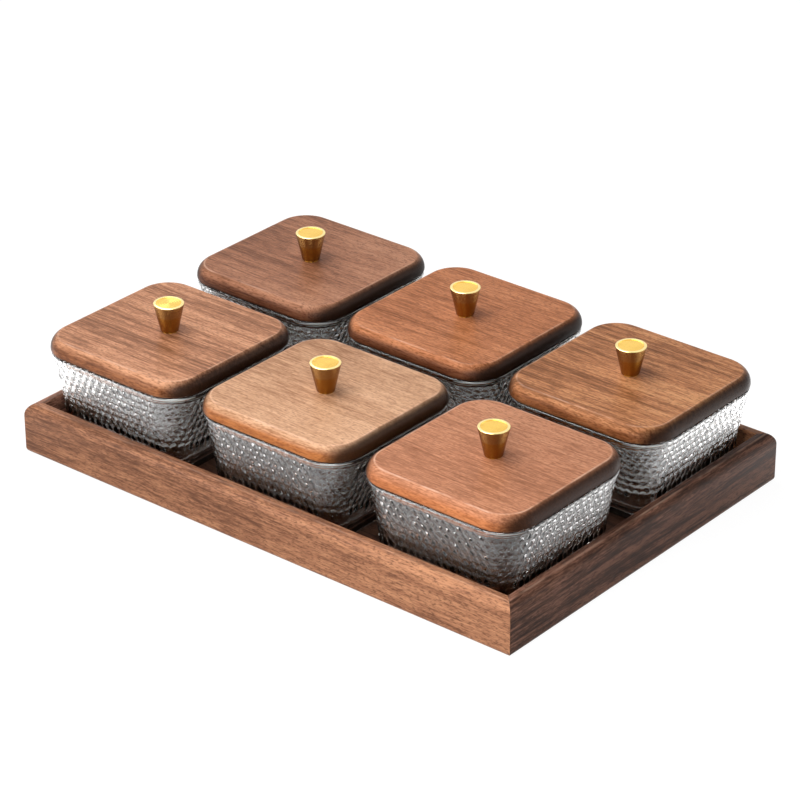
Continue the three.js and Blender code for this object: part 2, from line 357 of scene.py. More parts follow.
class Sheet:
    """A node tree, with short calls for what the finishes use."""

    def __init__(self, tree: NodeTree) -> None:
        """Starts on an emptied tree."""
        tree.nodes.clear()
        self.tree = tree

    @classmethod
    def of_material(cls, name: str) -> "tuple[Sheet, Material]":
        """Starts a new material.

        Args:
            name: the material's name.

        Returns:
            Its sheet and the material.
        """
        material = bpy.data.materials.new(name)
        material.use_nodes = True
        return cls(material.node_tree), material

    def feed(self, socket: NodeSocket, value: object) -> None:
        """Links an input to a socket, or sets the input's own value.

        Args:
            socket: the input.
            value: the socket or the value.
        """
        if isinstance(value, NodeSocket):
            self.tree.links.new(value, socket)
        elif socket.type == "RGBA":
            socket.default_value = (*value, 1.0)
        else:
            socket.default_value = value

    def add(self, kind: str, inputs: dict, **settings: object) -> Node:
        """Adds a node.

        Args:
            kind: its type, without the words ShaderNode.
            inputs: values or sockets for its inputs, by name or number.
            settings: its own properties.

        Returns:
            The node.
        """
        node = self.tree.nodes.new(f"ShaderNode{kind}")
        for name, value in settings.items():
            setattr(node, name, value)
        for key, value in inputs.items():
            self.feed(node.inputs[key], value)
        return node

    def place(self) -> NodeSocket:
        """The spot on the piece, in metres."""
        return self.add("TexCoord", {}).outputs["Object"]

    def sum(self, operation: str, *values: object) -> NodeSocket:
        """A sum on one to three numbers or sockets."""
        return self.add("Math", dict(enumerate(values)), operation=operation).outputs[0]

    def vector(self, operation: str, *values: object) -> NodeSocket:
        """A sum on vectors, whose result is a vector."""
        return self.add("VectorMath", dict(enumerate(values)), operation=operation).outputs[0]

    def parts(self, vector: NodeSocket) -> NodeOutputs:
        """The X, Y and Z of a vector."""
        return self.add("SeparateXYZ", {0: vector}).outputs

    def normal(self) -> NodeOutputs:
        """The X, Y and Z of the surface's own normal."""
        return self.parts(self.add("TexCoord", {}).outputs["Normal"])

    def length(self, vector: NodeSocket) -> NodeSocket:
        """The length of a vector."""
        return self.add("VectorMath", {0: vector}, operation="LENGTH").outputs["Value"]

    def noise(
        self, spot: NodeSocket, often: float | Point, detail: float = 2.0, roughness: float = 0.5
    ) -> NodeSocket:
        """Noise from 0 to 1 and mostly near its middle.

        Args:
            spot: where on the piece, in metres.
            often: how often it repeats in a metre, alike all ways or along X, Y and Z.
            detail: how many finer layers it has.
            roughness: how strong they are.

        Returns:
            The noise.
        """
        scale = often if isinstance(often, tuple) else (often,) * 3
        stretched = self.vector("MULTIPLY", spot, scale)
        inputs = {"Vector": stretched, "Scale": 1.0, "Detail": detail, "Roughness": roughness}
        return self.add("TexNoise", inputs).outputs[0]

    def swing(self, noise: NodeSocket, middle: float, by: float) -> NodeSocket:
        """A value that a noise swings about a middle."""
        return self.sum("MULTIPLY_ADD", noise, by, middle - by / 2)

    def rise(self, value: NodeSocket, bounds: Bounds) -> NodeSocket:
        """A value that climbs smoothly from 0 to 1 between two bounds."""
        inputs = {"Value": value, "From Min": bounds[0], "From Max": bounds[1]}
        return self.add("MapRange", inputs, interpolation_type="SMOOTHSTEP").outputs[0]

    def blend(self, share: object, first: object, second: object) -> NodeSocket:
        """Mixes two colours, for which the node has the sockets numbered 6, 7 and 2.

        Args:
            share: how much of the second there is.
            first: the first colour.
            second: the second colour.

        Returns:
            The mixed colour.
        """
        node = self.add("Mix", {}, data_type="RGBA")
        for number, value in ((0, share), (6, first), (7, second)):
            self.feed(node.inputs[number], value)
        return node.outputs[2]

    def ramp(self, value: NodeSocket, stops: list[tuple[float, Colour]]) -> NodeSocket:
        """Finds a colour that follows a value.

        Args:
            value: the value.
            stops: values with their colours, in order.

        Returns:
            The colour.
        """
        node = self.add("ValToRGB", {0: value})
        elements = node.color_ramp.elements
        while len(elements) < len(stops):
            elements.new(1.0)
        for element, (position, colour) in zip(elements, stops):
            element.position = position
            element.color = (*colour, 1.0)
        return node.outputs[0]

    def bump(self, height: NodeSocket, distance: float, strength: float = 1.0) -> NodeSocket:
        """A normal from a height in shares of a distance."""
        inputs = {"Height": height, "Distance": distance, "Strength": strength}
        return self.add("Bump", inputs).outputs[0]

    def surface(self, shader: NodeSocket) -> None:
        """Ends the tree of a material in a shader."""
        self.add("OutputMaterial", {"Surface": shader})

    def principled(self, inputs: dict) -> None:
        """Ends the tree in a Principled shader with these inputs."""
        self.surface(self.add("BsdfPrincipled", inputs).outputs[0])

    def sees_backdrop(self) -> NodeSocket:
        """Tells rays that may show the backdrop from rays that only light the set.

        Returns:
            1 for what the camera sees, directly or in metal or glass, and otherwise 0.
        """
        rays = self.add("LightPath", {}).outputs
        mirrored = self.sum("MAXIMUM", rays["Is Glossy Ray"], rays["Is Transmission Ray"])
        return self.sum("MAXIMUM", rays["Is Camera Ray"], mirrored)


# How often each layer of the walnut repeats in a metre, along the grain and across it
FIBRES: Point = (60.0, 760.0, 760.0)
FIGURE: Point = (2.5, 26.0, 26.0)
STREAKS: Point = (7.0, 240.0, 240.0)
SWIRLS: Point = (8.0, 20.0, 20.0)
PORES: Point = (340.0, 1400.0, 1400.0)
CLOUDS = 30.0
PAINTED_CREST_PATCHES = 70.0


@dataclass(frozen=True)
class WoodFinish:
    """Oiled walnut: three tones along the grain, its waviness, pores and satin sheen, with painted
    shade on its sides and end faces and a painted highlight along its crests.
    """

    dark: Colour
    middle: Colour
    light: Colour
    turn: float = 0.0
    contrast: float = 1.0
    spread: float = 0.13
    drift: float = 0.0
    fibres: float = 0.46
    figure: float = 0.2
    streaks: float = 0.16
    clouds: float = 0.1
    waviness: float = 0.004
    pore_depth: float = 0.65
    pore_bounds: Bounds = (0.49, 0.67)
    # Painted highlight along the marked crests: its strength, its colour and the bounds of its patches
    painted_crest_highlight: float = 0.32
    cloud_tone_and_painted_crest_highlight: Colour = (0.85, 0.55, 0.4)
    painted_crest_patch_bounds: Bounds = (0.3, 0.65)
    # Painted shade: a tint that darkens the upright sides below the top
    painted_side_tint: Colour = (0.88, 0.66, 0.48)
    painted_side_bounds: Bounds = (0.8, 0.3)
    # Faces end-on to the grain go nearly black, partly the darker end grain and partly painted shade
    end_grain_and_shade_colour: Colour = (0.012, 0.006, 0.004)
    end_grain_and_shade_share: float = 0.92
    end_grain_and_shade_bounds: Bounds = (0.25, 0.8)
    roughness: float = 0.36
    unevenness: float = 0.2
    specular: float = 0.2
    ior: float = 1.3
    relief: float = 0.0001
    relief_share: float = 0.5

    def tone(self, sheet: Sheet, grain: NodeSocket) -> tuple[NodeSocket, NodeSocket]:
        """Weighs the layers of figure and grain.

        Args:
            sheet: the sheet that they are laid on.
            grain: the spot on the board, with the grain along X.

        Returns:
            The weighed layers, about a half, and the fine fibres.
        """
        fine = sheet.noise(grain, FIBRES, 3.0, 0.75)
        layers = (
            (fine, self.fibres),
            (sheet.noise(grain, FIGURE), self.figure),
            (sheet.noise(grain, STREAKS), self.streaks),
            (sheet.noise(grain, CLOUDS), self.clouds),
        )
        weighed = 0.5 * (1 - sum(weight for _, weight in layers))
        for layer, weight in layers:
            weighed = sheet.sum("MULTIPLY_ADD", layer, weight, weighed)
        return weighed, fine

    def material(self, name: str, shift: Vector, centre: Vector) -> Material:
        """Makes the finish of one board.

        Args:
            name: the material's name.
            shift: where on the walnut pattern the board is cut from.
            centre: the board's middle, about which its tone drifts along X.

        Returns:
            The material.
        """
        sheet, material = Sheet.of_material(name)
        mapping = {"Vector": sheet.place(), "Location": shift, "Rotation": (0.0, 0.0, self.turn)}
        board = sheet.add("Mapping", mapping).outputs[0]
        swirl_at = sheet.vector("MULTIPLY", board, SWIRLS)
        swirl = sheet.add("TexNoise", {"Vector": swirl_at, "Scale": 1.0, "Detail": 1.0}).outputs[1]
        about_none = sheet.vector("SUBTRACT", swirl, (0.5,) * 3)
        pushed = sheet.vector("MULTIPLY", about_none, (self.waviness,) * 3)
        grain = sheet.vector("ADD", board, pushed)
        weighed, fine = self.tone(sheet, grain)
        along = sheet.parts(sheet.vector("SUBTRACT", sheet.place(), centre))[0]
        drifted = sheet.sum("MULTIPLY_ADD", along, self.drift, weighed)
        spread = self.spread / self.contrast
        tone = sheet.rise(drifted, (0.5 - spread, 0.5 + spread))
        pores = sheet.rise(sheet.noise(grain, PORES), self.pore_bounds)
        colour = sheet.ramp(tone, [(0.0, self.dark), (0.5, self.middle), (1.0, self.light)])
        pored = sheet.blend(sheet.sum("MULTIPLY", pores, self.pore_depth), colour, self.dark)
        # Painted shade: upright sides are tinted darker than the top
        facing = sheet.normal()
        upright = sheet.rise(facing[2], self.painted_side_bounds)
        with_painted_side_shade = sheet.blend(upright, pored, sheet.vector("MULTIPLY", pored, self.painted_side_tint))
        # Faces end-on to the grain are darkened nearly to black, partly the darker end grain and
        # partly painted shade
        end_on = sheet.sum("ABSOLUTE", facing[1 if self.turn else 0])
        shade = sheet.sum("MULTIPLY", sheet.rise(end_on, self.end_grain_and_shade_bounds), self.end_grain_and_shade_share)
        with_end_grain_and_painted_shade = sheet.blend(shade, with_painted_side_shade, self.end_grain_and_shade_colour)
        # Painted highlight: the marked crests are blended in patches towards a lighter colour
        edge = sheet.add("Attribute", {}, attribute_name=PAINTED_CREST_HIGHLIGHT).outputs["Fac"]
        patchy = sheet.rise(sheet.noise(grain, PAINTED_CREST_PATCHES), self.painted_crest_patch_bounds)
        cloud_tone_and_painted_crest_highlight = sheet.sum("MULTIPLY", sheet.sum("MULTIPLY", edge, patchy), self.painted_crest_highlight)
        sheet.principled({
            "Base Color": sheet.blend(cloud_tone_and_painted_crest_highlight, with_end_grain_and_painted_shade, self.cloud_tone_and_painted_crest_highlight),
            "Roughness": sheet.swing(fine, self.roughness, self.unevenness),
            "IOR": self.ior,
            "Specular IOR Level": self.specular,
            "Normal": sheet.bump(
                sheet.sum("SUBTRACT", fine, pores), self.relief, self.relief_share
            ),
        })
        return material


@dataclass(frozen=True)
class GlassFinish:
    """Clear pressed glass, with the faint unevenness of its skin and a bright fire polish."""

    colour: Colour = (0.97, 0.965, 0.955)
    roughness: float = 0.05
    ior: float = 1.5
    polish: float = 0.5
    polish_ior: float = 1.7
    ripples: float = 170.0
    ripple_height: float = 0.0003
    ripple_share: float = 0.4

    def material(self, name: str) -> Material:
        """Makes the finish.

        Args:
            name: the material's name.

        Returns:
            The material.
        """
        sheet, material = Sheet.of_material(name)
        ripple = sheet.noise(sheet.place(), self.ripples, 1.0)
        sheet.principled({
            "Base Color": self.colour,
            "Roughness": self.roughness,
            "IOR": self.ior,
            "Transmission Weight": 1.0,
            "Coat Weight": self.polish,
            "Coat IOR": self.polish_ior,
            "Coat Roughness": self.roughness,
            "Normal": sheet.bump(ripple, self.ripple_height, self.ripple_share),
        })
        return material


@dataclass(frozen=True)
class MetalFinish:
    """Turned metal: a tone that clouds a little, and fine marks round its upright axis, with painted
    shade on its upright sides and a painted highlight on its crown beyond the rim.
    """

    colour: Colour
    cloud_tone_and_painted_crest_highlight: Colour
    roughness: float
    unevenness: float = 0.1
    clouds: float = 140.0
    cloud_bounds: Bounds = (0.4, 0.75)
    # Painted shade on the upright sides: the colour they are blended towards, its share and the bounds
    # of the sides
    side: Colour = (0.2, 0.06, 0.006)
    painted_side_shade: float = 0.0
    painted_side_bounds: Bounds = (0.6, 0.1)
    # Painted highlight on the crown beyond the rim radius: its pale colour, share, radius and blur
    ring: Colour = (1.0, 0.93, 0.5)
    painted_rim_highlight_share: float = 0.6
    rim: float = 1.0
    rim_blur: float = 0.0002
    mark_slant: float = 0.2
    mark_pitch: float = 0.0003
    mark_depth: float = 0.000022

    def material(self, name: str, axis: Vector) -> Material:
        """Makes the finish.

        Args:
            name: the material's name.
            axis: a point on the turning axis.

        Returns:
            The material.
        """
        sheet, material = Sheet.of_material(name)
        centred = sheet.vector("SUBTRACT", sheet.place(), axis)
        flat = sheet.vector("MULTIPLY", centred, (1.0, 1.0, 0.0))
        radius = sheet.length(flat)
        travel = sheet.sum("MULTIPLY_ADD", radius, self.mark_slant, sheet.parts(centred)[2])
        phase = sheet.sum("MULTIPLY", travel, math.tau / self.mark_pitch)
        cloud = sheet.noise(centred, self.clouds, 3.0)
        clouded = sheet.blend(sheet.rise(cloud, self.cloud_bounds), self.colour, self.cloud_tone_and_painted_crest_highlight)
        # Painted highlight: beyond the rim radius the crown is paled towards the ring colour
        beyond_rim = sheet.rise(radius, (self.rim, self.rim + self.rim_blur))
        painted_rim_highlight = sheet.sum("MULTIPLY", beyond_rim, self.painted_rim_highlight_share)
        with_painted_rim_highlight = sheet.blend(painted_rim_highlight, clouded, self.ring)
        # Painted shade: upright sides are blended towards a dark red brown
        upright = sheet.rise(sheet.normal()[2], self.painted_side_bounds)
        shade = sheet.sum("MULTIPLY", upright, self.painted_side_shade)
        sheet.principled({
            "Base Color": sheet.blend(shade, with_painted_rim_highlight, self.side),
            "Metallic": 1.0,
            "Roughness": sheet.swing(cloud, self.roughness, self.unevenness),
            "Normal": sheet.bump(sheet.sum("SINE", phase), self.mark_depth),
        })
        return material


@dataclass(frozen=True)
class SiliconeFinish:
    """Milky silicone with a dry skin."""

    colour: Colour = (0.72, 0.76, 0.74)
    clouded: Colour = (0.62, 0.66, 0.65)
    clouds: float = 90.0
    roughness: float = 0.5
    ior: float = 1.41
    pitting: float = 2600.0
    pit_depth: float = 0.00005
    pit_share: float = 0.4

    def material(self, name: str) -> Material:
        """Makes the finish.

        Args:
            name: the material's name.

        Returns:
            The material.
        """
        sheet, material = Sheet.of_material(name)
        place = sheet.place()
        cloud = sheet.noise(place, self.clouds, 3.0)
        dry = sheet.noise(place, self.pitting, 1.0)
        sheet.principled({
            "Base Color": sheet.blend(cloud, self.colour, self.clouded),
            "Roughness": self.roughness,
            "IOR": self.ior,
            "Normal": sheet.bump(dry, self.pit_depth, self.pit_share),
        })
        return material


# Tray


class Side(Enum):
    """A side of the tray, by the quarter turns that bring the front rail there."""

    FRONT = 0
    RIGHT = 1
    BACK = 2
    LEFT = 3


@dataclass
class Rail:
    """A moulded and mitred rail of the tray, made along X and turned to its side."""

    side: Side
    thickness: float = 0.0098
    height: float = 0.0345
    top_drop: float = 0.008
    top_crease: float = 0.001
    bottom_radius: float = 0.0035
    inner_ease: float = 0.0008
    groove_depth: float = 0.004
    groove_low: float = 0.005
    groove_high: float = 0.010
    softening: float = 0.0003
    round_steps: int = 10
    overrun: float = 0.004

    def arc(self, bm: BMesh, start: BMVert, centre: tuple[float, float], sweep: float) -> BMVert:
        """Draws an arc in the YZ plane.

        Args:
            bm: the mesh that it is drawn in.
            start: the vertex at its start.
            centre: the Y and Z of its centre.
            sweep: its angle about +X.

        Returns:
            The vertex at its end.
        """
        made = bmesh.ops.spin(
            bm, geom=[start], cent=(0, *centre), axis=(1, 0, 0), angle=sweep,
            steps=self.round_steps,
        )
        return verts_in(made["geom_last"])[0]

    def draw_profile(self, bm: BMesh) -> None:
        """Draws the rail's section as a face, with y inwards from the outer side.

        Args:
            bm: the mesh that it is drawn in.
        """
        radius = self.top_drop + self.top_crease
        shoulder_height = self.height - self.top_drop
        foot = bm.verts.new((0, self.bottom_radius, 0))
        side = self.arc(bm, foot, (self.bottom_radius, self.bottom_radius), -math.pi / 2)
        shoulder = bm.verts.new((0, 0, shoulder_height))
        sweep = math.asin(self.top_drop / radius)
        crest = self.arc(bm, shoulder, (radius, shoulder_height), -sweep)
        inner, groove = self.thickness, self.thickness - self.groove_depth
        corners = [
            (crest.co.y + HOLD, self.height),
            (inner - self.inner_ease - HOLD, self.height),
            (inner - self.inner_ease, self.height),
            (inner, self.height - self.inner_ease),
            (inner, self.height - self.inner_ease - HOLD),
            (inner, self.groove_high + GLUE_GAP),
            (groove, self.groove_high + GLUE_GAP),
            (groove, self.groove_low - GLUE_GAP),
            (inner, self.groove_low - GLUE_GAP),
            (inner, 0),
        ]
        chain = [crest, *(bm.verts.new((0, y, z)) for y, z in corners), foot]
        above = bm.verts.new((0, 0, self.bottom_radius + HOLD))
        below = bm.verts.new((0, 0, shoulder_height - HOLD))
        for pair in ((side, above), (above, below), (below, shoulder), *zip(chain, chain[1:])):
            bm.edges.new(pair)
        bmesh.ops.contextual_create(bm, geom=list(bm.edges))
        crests = soften(bm, [crest], self.softening, affect="VERTICES")
        for corner in chain[3:5]:
            soften(bm, [corner], self.softening, affect="VERTICES")
        # The softened crest is marked for a painted highlight
        mark_painted_crest_highlight(bm, crests)

    def build(self, material: Material) -> None:
        """Builds the rail between its two mitres.

        Args:
            material: its finish.
        """
        node = f"rail_{self.side.name.lower()}"
        low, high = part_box(node)
        reaches = {Side.FRONT: -low.y, Side.RIGHT: high.x, Side.BACK: high.y, Side.LEFT: -low.x}
        half = max(high.x - low.x, high.y - low.y) / 2
        bm = wooden_mesh()
        self.draw_profile(bm)
        bmesh.ops.translate(bm, verts=bm.verts, vec=(-half - self.overrun, 0, 0))
        swept = bmesh.ops.extrude_face_region(bm, geom=list(bm.faces))["geom"]
        bmesh.ops.translate(bm, verts=verts_in(swept), vec=(2 * (half + self.overrun), 0, 0))
        for end in (-1, 1):
            cut = bmesh.ops.bisect_plane(
                bm, geom=[*bm.verts, *bm.edges, *bm.faces],
                plane_co=(end * half, 0, 0), plane_no=(end, 1, 0), clear_outer=True,
            )
            bmesh.ops.contextual_create(
                bm, geom=[item for item in cut["geom_cut"] if isinstance(item, BMEdge)]
            )
        bmesh.ops.recalc_face_normals(bm, faces=bm.faces)
        bmesh.ops.translate(bm, verts=bm.verts, vec=(0, -reaches[self.side], 0))
        turn = Matrix.Rotation(self.side.value * math.pi / 2, 3, "Z")
        bmesh.ops.rotate(bm, verts=bm.verts, cent=(0, 0, 0), matrix=turn)
        put(bm, Vector(), material, Standing(node, "tray", "tray_wood"), crease_angle=8)


@dataclass
class Tray:
    """The tray: four rails round a floor panel."""

    front: WoodFinish = WoodFinish(
        dark=(0.12, 0.049, 0.027), middle=(0.33, 0.145, 0.077), light=(0.51, 0.243, 0.127),
        drift=0.16, pore_depth=0.7, painted_crest_highlight=0.12, painted_side_tint=(1.0, 1.0, 1.0),
    )
    # The end rails' walnut is darker than the front rail's, partly painted shade for their shaded
    # sides
    ends: WoodFinish = WoodFinish(
        dark=(0.044, 0.018, 0.011), middle=(0.165, 0.075, 0.047), light=(0.34, 0.163, 0.108),
        turn=math.pi / 2, contrast=1.3, streaks=0.4, painted_side_tint=(1.0, 1.0, 1.0),
    )
    # Painted shade: the floor panel's walnut is darkened nearly to black for the shade inside the tray
    panel_in_painted_shade: WoodFinish = WoodFinish(
        dark=(0.03, 0.014, 0.009), middle=(0.075, 0.036, 0.023), light=(0.12, 0.06, 0.038),
        roughness=0.5,
    )
    first_cut: Point = (0.35, 0.12, 0.1)
    next_cut: Point = (0.4, 0.3, 0.0)
    panel_cut: Point = (0.9, 0.2, 0.0)

    def build(self) -> None:
        """Makes the rails and dresses the floor panel."""
        for side in Side:
            finish = self.ends if side.value % 2 else self.front
            shift = Vector(self.first_cut) + Vector(self.next_cut) * side.value
            material = finish.material(f"walnut_{side.name.lower()}_rail", shift, Vector())
            Rail(side).build(material)
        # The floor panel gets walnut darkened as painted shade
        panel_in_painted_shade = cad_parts["tray_floor"]
        panel_in_painted_shade.data.materials.clear()
        material = self.panel_in_painted_shade.material("walnut_floor_panel_in_painted_shade", Vector(self.panel_cut), Vector())
        panel_in_painted_shade.data.materials.append(material)
        log.info("%s: dressed, on tray", panel_in_painted_shade.name)


# Bowls


@dataclass
class Hammering:
    """Rows of overlapping shallow dimples that ring a bowl."""

    columns: int = 78
    rows: int = 8
    low: float = 0.0215
    high: float = 0.0583
    pitch: float = 0.0054
    depth: float = 0.0011
    reach: float = 0.0034
    scatter: float = 0.1
    unevenness: float = 0.25

    @property
    def row_height(self) -> float:
        """The distance between two rows."""
        return (self.high - self.low) / self.rows

    def dimples(self, seed: int) -> list[list[Dimple]]:
        """Sets out the dimples of one bowl.

        Args:
            seed: the bowl's own number.

        Returns:
            For each row its dimples, as their column, row and depth.
        """
        chance = random.Random(seed)
        return [
            [
                (
                    column + 0.5 * (row % 2) + chance.uniform(-self.scatter, self.scatter),
                    row + 0.5 + chance.uniform(-self.scatter, self.scatter),
                    self.depth * (1 + chance.uniform(-self.unevenness, self.unevenness)),
                )
                for column in range(self.columns)
            ]
            for row in range(self.rows)
        ]

    def depth_at(self, dimples: list[list[Dimple]], column: float, row: float) -> float:
        """How deep the dimples cut at one spot.

        Args:
            dimples: the bowl's dimples, by row.
            column: the spot's place round the bowl, in columns.
            row: its place up the side, in rows.

        Returns:
            The depth.
        """
        deepest = 0.0
        for near_row in range(max(int(row) - 1, 0), min(int(row) + 2, self.rows)):
            for near_column in range(int(column) - 2, int(column) + 3):
                at, up, depth = dimples[near_row][near_column % self.columns]
                aside = (column - at + self.columns / 2) % self.columns - self.columns / 2
                distance = (aside * self.pitch) ** 2 + ((row - up) * self.row_height) ** 2
                deepest = max(deepest, depth * (1 - distance / self.reach**2))
        return deepest


@dataclass
class Bowl:
    """A square glass bowl: smooth foot and heel, hammered side, thickened rim, smooth inside."""

    foot: Section = Section(0.0045, 0.046, 0.010)
    waist: Section = Section(0.0145, 0.052, 0.0155)
    mouth: Section = Section(0.0615, 0.0605, 0.026)
    foot_edge: float = 0.001
    foot_bend: float = 0.3
    heel_curve: float = 2.3
    wall: float = 0.0034
    base: float = 0.007
    inner_heel: float = 0.009
    rim_band: float = 0.0032
    rim_proud: float = 0.0008
    rim_edge: float = 0.0012
    hold: float = 0.0003
    fade: float = 0.0012
    heel_steps: int = 8
    rim_steps: int = 4
    inner_steps: int = 7
    hammered_steps: int = 64
    steps: Steps = Steps(side=130, corner=62)
    hammering: Hammering = field(default_factory=Hammering)
    finish: GlassFinish = GlassFinish()

    @property
    def shoulder(self) -> Section:
        """The side's own outline where the rim band begins."""
        return self.mouth.inset(self.rim_proud, self.mouth.z - self.rim_band)

    def outside(self, z: float) -> Section:
        """The outer side at a height."""
        return self.waist.towards(self.shoulder, z)

    def inside(self, z: float) -> Section:
        """The inside wall at a height."""
        return self.outside(z).inset(self.wall, z)

    def heel(self, share: float) -> Section:
        """Finds a section of the round between foot and waist.

        Args:
            share: its place up the round, from 0 to 1.

        Returns:
            The section.
        """
        out = 1 - (1 - share) ** self.heel_curve
        return Section(
            self.foot.z + (self.waist.z - self.foot.z) * share,
            self.foot.half + (self.waist.half - self.foot.half) * out,
            self.foot.corner + (self.waist.corner - self.foot.corner) * out,
        )

    def below_hammering(self) -> list[Section]:
        """Lists the outlines of the bowl's lower part.

        Returns:
            The sections from the foot up to where the dimples begin.
        """
        return [
            self.foot.inset(self.foot_edge + self.hold, 0),
            self.foot.inset(self.foot_edge, 0),
            self.foot.inset(self.foot_edge * self.foot_bend, self.foot_edge * self.foot_bend),
            self.foot.inset(0, self.foot_edge),
            self.foot.inset(0, self.foot_edge + self.hold),
            self.foot.inset(0, self.foot.z - self.hold),
            *(self.heel(step / self.heel_steps) for step in range(self.heel_steps)),
            self.waist,
            self.outside(self.hammering.low - self.fade),
        ]

    def above_hammering(self) -> list[Section]:
        """Lists the outlines of the rest of the bowl.

        Returns:
            The sections from where the dimples end, over the rim and down the inside.
        """
        top = self.mouth.z
        rim_low = top - self.rim_edge
        rim = edge_round(self.rim_edge, self.rim_steps)
        mouth_in = self.inside(top)
        heel_in = self.inside(self.base + self.inner_heel)
        return [
            self.outside(self.hammering.high),
            self.shoulder,
            self.mouth.inset(0, self.shoulder.z + self.rim_proud),
            self.mouth.inset(0, self.shoulder.z + self.rim_proud + self.hold),
            self.mouth.inset(0, rim_low - self.hold),
            *(self.mouth.inset(inwards, top - down) for inwards, down in rim),
            self.mouth.inset(self.rim_edge + self.hold, top),
            mouth_in.inset(-self.rim_edge - self.hold, top),
            *(mouth_in.inset(inwards - self.rim_edge, top - down) for inwards, down in reversed(rim)),
            self.inside(rim_low - self.hold),
            self.inside(heel_in.z + self.hold),
            *(
                heel_in.inset(inwards, self.base + down)
                for inwards, down in edge_round(self.inner_heel, self.inner_steps)
            ),
        ]

    def blank(self) -> tuple[BMesh, list[tuple[int, float, float]]]:
        """Makes a bowl that isn't hammered yet.

        Returns:
            Its mesh, and for each point that can be hammered its index, column and row.
        """
        bm = bmesh.new()
        below = self.below_hammering()
        bands = skin(bm, [*below, *self.above_hammering()], self.steps)[1]
        split = bmesh.ops.subdivide_edges(
            bm, edges=bands[len(below) - 1], cuts=self.hammered_steps - 1, use_grid_fill=True
        )
        bm.normal_update()
        bm.verts.index_update()
        spots = []
        for vert in verts_in(split["geom_inner"]):
            column = self.outside(vert.co.z).share_round(vert.co) * self.hammering.columns
            row = (vert.co.z - self.hammering.low) / self.hammering.row_height
            spots.append((vert.index, column, row))
        return bm, spots

    def build(self, names: list[str]) -> None:
        """Makes the bowls.

        Args:
            names: their places on the tray.
        """
        material = self.finish.material("pressed_glass")
        blank, spots = self.blank()
        for number, name in enumerate(names):
            bm = blank.copy()
            bm.verts.ensure_lookup_table()
            dimples = self.hammering.dimples(number)
            for index, column, row in spots:
                vert = bm.verts[index]
                vert.co -= vert.normal * self.hammering.depth_at(dimples, column, row)
            node = f"bowl_{name}"
            put(bm, centre_of(node), material, Standing(node, node, "glass"), crease_angle=40)
        blank.free()


# Lids


@dataclass
class Knob:
    """A conical brass knob with a blind bore for its screw."""

    height: float = 0.0194
    base_radius: float = 0.0058
    top_radius: float = 0.0099
    base_ease: float = 0.0003
    neck: float = 0.0051
    neck_height: float = 0.0006
    top_ease: float = 0.0006
    rim: float = 0.0080
    dish: float = 0.0003
    bore: float = 0.0023
    bore_depth: float = 0.0093
    steps: int = 72
    ease_steps: int = 5
    # The knob's sides carry painted shade and its crown a painted highlight beyond the rim
    finish: MetalFinish = MetalFinish(
        colour=(1.0, 0.64, 0.13), cloud_tone_and_painted_crest_highlight=(0.93, 0.56, 0.10), roughness=0.17, painted_side_shade=0.86, rim=rim
    )

    def build(self, name: str, at: Vector) -> None:
        """Turns the knob.

        Args:
            name: its place on the tray.
            at: the middle of its base.
        """
        profile = [
            (0, self.bore_depth),
            (self.bore, self.bore_depth),
            (self.bore, 0),
            (self.neck, 0),
            (self.neck, self.neck_height),
            (self.base_radius - self.base_ease, self.neck_height),
            (self.base_radius, self.neck_height + self.base_ease),
            (self.top_radius, self.height),
            (self.rim, self.height),
            (self.rim - self.dish, self.height - self.dish),
            (0, self.height - self.dish),
        ]
        bm = bmesh.new()
        verts = [bm.verts.new((radius, 0, height)) for radius, height in profile]
        edges = [bm.edges.new(pair) for pair in zip(verts, verts[1:])]
        bmesh.ops.spin(
            bm, geom=verts + edges, cent=(0, 0, 0), axis=(0, 0, 1),
            angle=math.tau, steps=self.steps, use_merge=True,
        )
        bmesh.ops.remove_doubles(bm, verts=bm.verts, dist=MERGE)
        bmesh.ops.recalc_face_normals(bm, faces=bm.faces)
        widest = self.top_radius - MERGE
        crown = [
            edge for edge in bm.edges
            if all(vert.co.to_2d().length > widest for vert in edge.verts)
        ]
        soften(bm, crown, self.top_ease, self.ease_steps)
        material = self.finish.material(f"brass_{name}", at)
        put(bm, at, material, Standing(f"knob_{name}", f"lid_{name}", "brass"))


@dataclass
class Screw:
    """A steel screw with a hexagon socket, made with its head below the origin."""

    radius: float = 0.002
    length: float = 0.0215
    head_radius: float = 0.0038
    head_height: float = 0.0024
    head_dome: float = 0.0008
    socket_radius: float = 0.0015
    socket_depth: float = 0.0014
    socket_corners: int = 6
    dome_steps: int = 4
    steps: Steps = Steps(side=1, corner=8)
    finish: MetalFinish = MetalFinish(
        colour=(0.62, 0.61, 0.6), cloud_tone_and_painted_crest_highlight=(0.5, 0.49, 0.48), roughness=0.3
    )

    def build(self, name: str, at: Vector) -> None:
        """Makes the screw.

        Args:
            name: its place on the tray.
            at: the middle of the face of its head that the lid carries.
        """
        outlines = [
            Circle(self.socket_depth - self.head_height, self.socket_radius, self.socket_corners),
            Circle(-self.head_height, self.socket_radius, self.socket_corners),
            *(
                Circle(up - self.head_height, self.head_radius - inwards)
                for up, inwards in edge_round(self.head_dome, self.dome_steps)
            ),
            Circle(0, self.head_radius),
            Circle(0, self.radius),
            Circle(self.length - self.radius / 2, self.radius),
            Circle(self.length, self.radius / 2),
        ]
        bm = bmesh.new()
        skin(bm, outlines, self.steps)
        material = self.finish.material(f"steel_{name}", at)
        put(bm, at, material, Standing(f"screw_{name}", f"lid_{name}", "steel"))


@dataclass(frozen=True)
class Timber:
    """The wood of one lid: its slot, its finish and where in the pattern it is cut."""

    slot: str
    finish: WoodFinish
    shift: Point


